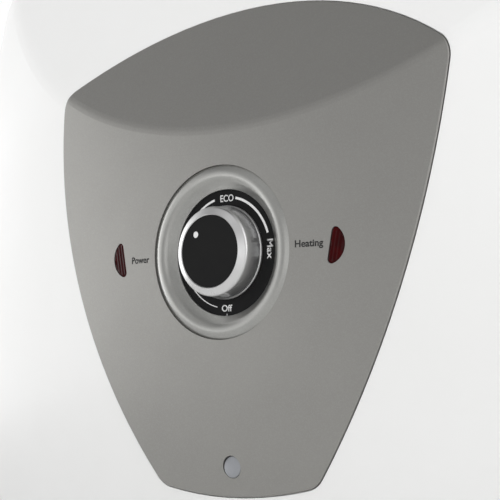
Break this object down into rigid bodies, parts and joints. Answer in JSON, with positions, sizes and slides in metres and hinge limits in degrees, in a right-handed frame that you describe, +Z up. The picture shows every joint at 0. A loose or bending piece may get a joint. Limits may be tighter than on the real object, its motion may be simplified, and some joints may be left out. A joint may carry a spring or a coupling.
{
  "type": "electric storage water heater",
  "caption": "Compact wall-hung electric storage water heater with a pillow-shaped casing, a shield-shaped control cover, a thermostat knob and lamps.",
  "frame": {"origin": "midway between the two hanging holes, on the wall face of the hanger plate", "axes": "+Y points into the wall, -Y is the front with the control cover, +Z is up, +X is the right side seen from the front"},
  "size_m": [0.446, 0.4067, 0.47],
  "materials": {
    "white_casing": "gloss",
    "zinc_steel": "satin zinc plate",
    "foam": "matt",
    "enamelled_steel": "gloss enamel",
    "black_rubber": "matt",
    "steatite": "matt unglazed",
    "coil_wire": "oxidised",
    "brass": "satin",
    "steel": "brushed",
    "black_plastic": "matt",
    "red_plastic": "semi-gloss",
    "blue_plastic": "semi-gloss",
    "magnesium": "dull",
    "natural_plastic": "matt",
    "grey_satin": "satin metallic paint with fine grain",
    "grey_bezel": "satin metallic paint",
    "silver_cap": "satin silver",
    "black_dial": "satin",
    "silver_knob": "satin",
    "black_inlay": "satin",
    "white_print": "satin",
    "red_lens": "clear tinted",
    "lamp_glass": "clear",
    "grey_plastic": "satin",
    "brown_lead": "satin",
    "blue_lead": "satin",
    "green_lead": "satin",
    "white_lead": "satin"
  },
  "bodies": {
    "heater": {"front_shell": "white_casing", "rear_shell": "white_casing", "shell_screws": "zinc_steel", "front_foam": "foam", "rear_foam": "foam", "tank": "enamelled_steel", "tank_ring": "enamelled_steel", "ring_studs": "zinc_steel", "flange_nuts": "zinc_steel", "flange_gasket": "black_rubber", "flange_plate": "enamelled_steel", "element_sleeve": "enamelled_steel", "ceramic_core": "steatite", "heating_coils": "coil_wire", "element_head": "steatite", "element_pins": "brass", "stat_pocket": "steel", "stat_stem": "brass", "stat_body": "black_plastic", "stat_bush": "brass", "stat_blades": "brass", "cutout_body": "black_plastic", "cutout_blades": "brass", "anode_rod": "magnesium", "anode_holder": "steel", "cold_pipe": "steel", "hot_pipe": "steel", "cold_collar": "blue_plastic", "hot_collar": "red_plastic", "cold_diffuser": "natural_plastic", "hanger_posts": "zinc_steel", "hanger_plate": "zinc_steel", "wall_bumpers": "black_rubber", "control_cover": "grey_satin", "cover_seal": "black_rubber", "cover_screw": "zinc_steel", "screw_cap": "silver_cap", "bezel_ring": "grey_bezel", "dial_plate": "black_dial", "power_lens": "red_lens", "heating_lens": "red_lens", "lamp_holders": "black_plastic", "lamp_tubes": "lamp_glass", "terminal_block": "natural_plastic", "terminal_screws": "brass", "earth_screw": "brass", "cable_gland": "grey_plastic", "gland_nut": "grey_plastic", "line_lead": "brown_lead", "link_lead": "brown_lead", "element_lead": "brown_lead", "neutral_lead": "blue_lead", "earth_lead": "green_lead", "lamp_leads": "white_lead"},
    "knob": {"spindle": "steel", "knob_spring": "steel", "knob_skirt": "silver_knob", "knob_inlay": "black_inlay", "knob_dot": "white_print"},
    "reset": {"reset_button": "red_plastic"}
  },
  "joints": [
    {"name": "knob_turn", "type": "hinge", "parent": "heater", "child": "knob", "pos_m": [0, -0.398, -0.095], "axis": [0, 1, 0], "range_deg": [-133, 137]},
    {"name": "reset_push", "type": "slide", "parent": "heater", "child": "reset", "axis": [0, 1, 0], "range_m": [0, 0.002], "stiffness_N_per_m": 300, "springref_m": -0.003}
  ]
}
